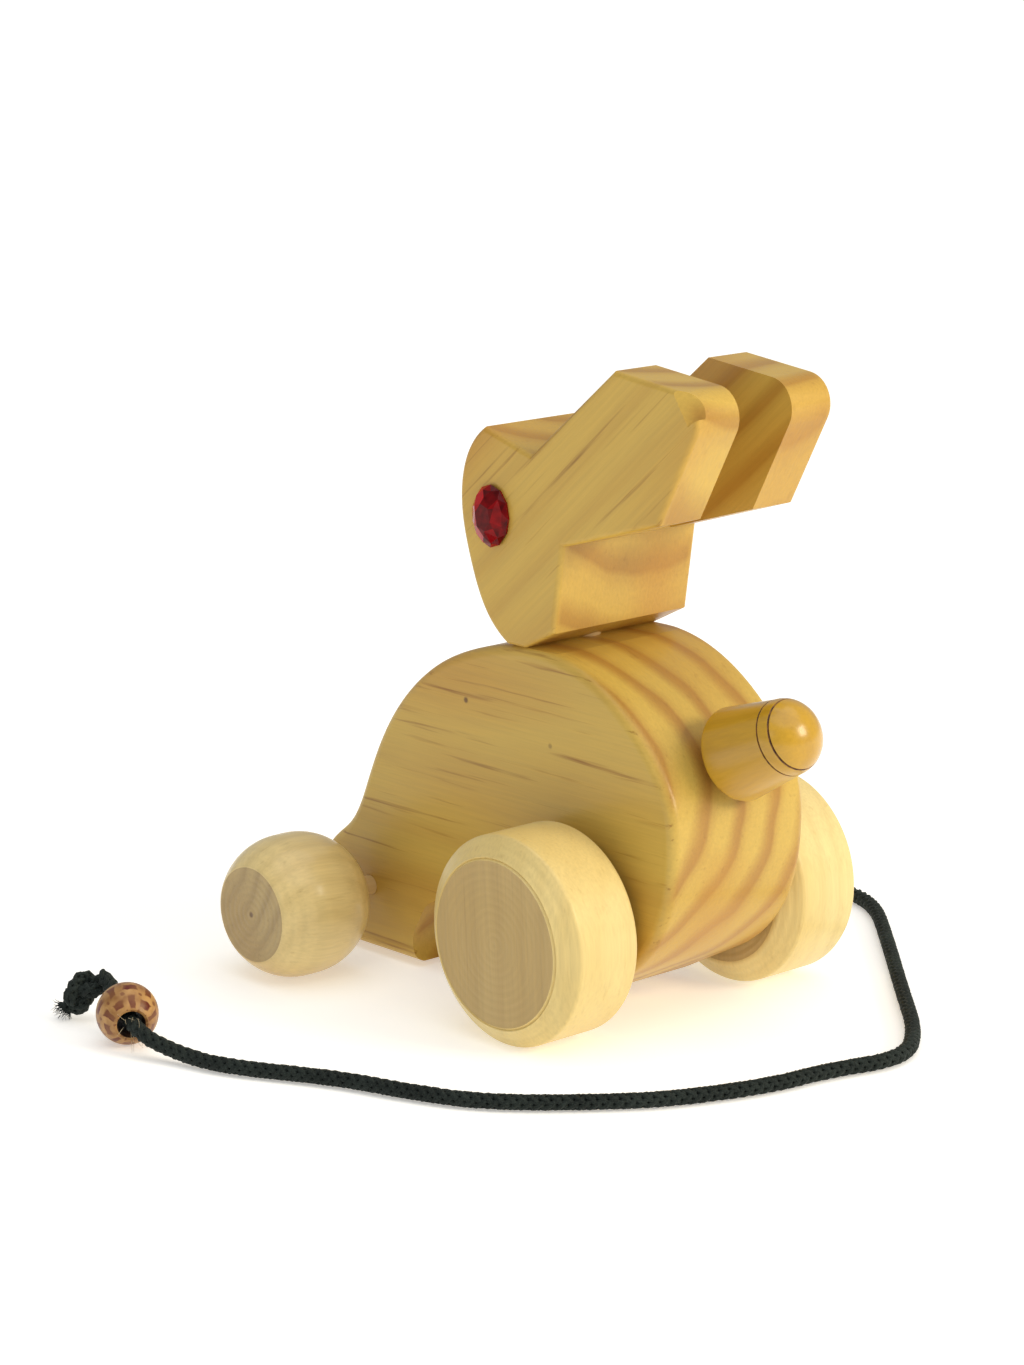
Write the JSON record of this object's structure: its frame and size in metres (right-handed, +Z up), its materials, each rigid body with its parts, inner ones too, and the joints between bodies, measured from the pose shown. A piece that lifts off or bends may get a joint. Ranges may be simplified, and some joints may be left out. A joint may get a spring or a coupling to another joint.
{
  "type": "pull along toy",
  "caption": "Wooden rabbit on two turning wheelsets, with a turned tail, gem eyes and a braided pull cord that ends in a bead.",
  "frame": {"origin": "on the floor, under the middle of the toy without its cord", "axes": "+X forward to the rabbit's nose, +Y to its left along the axles, +Z up"},
  "size_m": [0.2151, 0.2198, 0.1556],
  "materials": {
    "body_pine": "satin lacquered pine",
    "head_pine": "satin lacquered pine",
    "dowel_wood": "plain dowel",
    "lacquered_wood": "golden lacquer",
    "wheel_wood": "pale turned wood, satin",
    "gem": "faceted red rhinestone",
    "cord": "braided cotton",
    "bead_wood": "painted wooden bead"
  },
  "bodies": {
    "toy": {"body": "body_pine", "head": "head_pine", "neck_dowel": "dowel_wood", "eye_left": "gem", "eye_right": "gem", "tail": "lacquered_wood", "pull_cord": "cord", "cord_anchor_knot": "cord", "cord_stopper_knot": "cord", "cord_frayed_end": "cord", "cord_bead": "bead_wood"},
    "rear_wheelset": {"rear_axle": "dowel_wood", "rear_wheel_left": "wheel_wood", "rear_wheel_right": "wheel_wood"},
    "front_wheelset": {"front_axle": "dowel_wood", "front_wheel_left": "wheel_wood", "front_wheel_right": "wheel_wood"}
  },
  "joints": [
    {"name": "rear_wheels_spin", "type": "hinge", "parent": "toy", "child": "rear_wheelset", "pos_m": [-0.0225, 0, 0.025], "axis": [0, 1, 0], "continuous": true},
    {"name": "front_wheels_spin", "type": "hinge", "parent": "toy", "child": "front_wheelset", "pos_m": [0.0526, 0, 0.0175], "axis": [0, 1, 0], "continuous": true}
  ]
}
